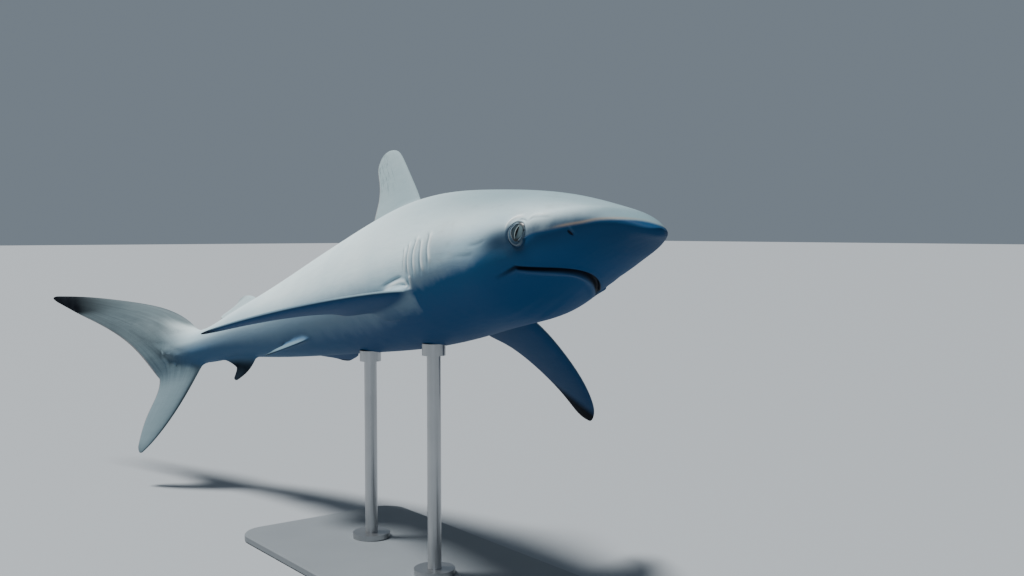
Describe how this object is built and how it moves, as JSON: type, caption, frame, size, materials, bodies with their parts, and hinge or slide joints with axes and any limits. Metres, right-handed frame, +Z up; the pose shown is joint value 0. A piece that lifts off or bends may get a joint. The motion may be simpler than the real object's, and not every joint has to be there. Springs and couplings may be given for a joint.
{
  "type": "silky shark model",
  "caption": "Life-size still model of a slim swimming shark, body bent in a gentle curve, mouth closed, held over a flat base by short rods.",
  "frame": {"origin": "centre of the base plate's underside, on the floor", "axes": "+X towards the snout along the line from tail to nose, +Y to the shark's left, +Z up; the base plate's underside faces -Z"},
  "size_m": [1.7583, 0.5828, 0.6388],
  "materials": {
    "back_skin": "satin",
    "belly_skin": "satin",
    "pale_fin": "satin",
    "dark_fin": "satin",
    "eye": "gloss",
    "stand_plate": "satin",
    "stand_steel": "satin"
  },
  "bodies": {
    "root": {"head": "back_skin", "lower_jaw": "belly_skin", "trunk": "back_skin", "tail_stem": "back_skin", "eye_left": "eye", "eye_right": "eye", "first_dorsal_fin": "pale_fin", "second_dorsal_fin": "pale_fin", "anal_fin": "dark_fin", "pectoral_fin_left": "dark_fin", "pectoral_fin_right": "dark_fin", "pelvic_fin_left": "dark_fin", "pelvic_fin_right": "dark_fin", "caudal_fin_upper": "pale_fin", "caudal_fin_lower": "pale_fin", "stand_base": "stand_plate", "stand_rod_front": "stand_steel", "stand_rod_rear": "stand_steel", "stand_flange_front": "stand_steel", "stand_flange_rear": "stand_steel", "stand_collar_front": "stand_steel", "stand_collar_rear": "stand_steel"}
  },
  "joints": []
}
